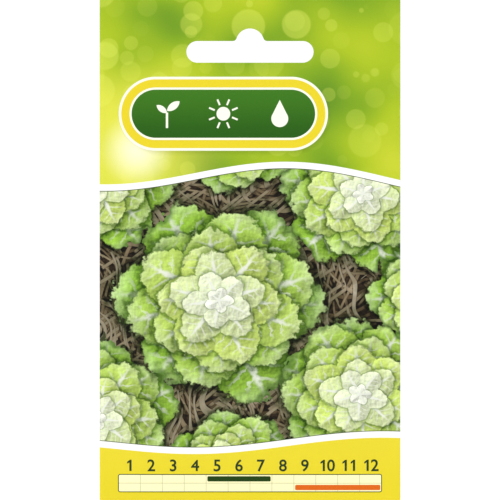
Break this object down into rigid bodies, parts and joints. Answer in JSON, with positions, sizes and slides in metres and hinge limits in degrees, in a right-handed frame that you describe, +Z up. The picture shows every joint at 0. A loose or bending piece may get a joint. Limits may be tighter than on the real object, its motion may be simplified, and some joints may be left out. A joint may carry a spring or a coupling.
{
  "type": "seed packet",
  "caption": "Flat paper seed packet that hangs from a peg slot in its header, folded from one sheet, with a sealed foil sachet of seeds inside.",
  "frame": {"origin": "the point where a peg carries the hanging packet: the top of the peg slot's hump, midway through the header", "axes": "+Z up, +X to the right of the printed front as it is read, the printed front faces -Y"},
  "size_m": [0.096, 0.0042, 0.16],
  "materials": {
    "printed_paper": "satin coated paper, printed outside, white inside and at its cut edges",
    "sachet_foil": "satin heat-sealed foil with a crimped rim",
    "seed_husk": "matt dry husk"
  },
  "bodies": {
    "root": {"envelope": "printed_paper", "sachet_front_foil": "sachet_foil", "sachet_back_foil": "sachet_foil", "seeds": "seed_husk"}
  },
  "joints": []
}
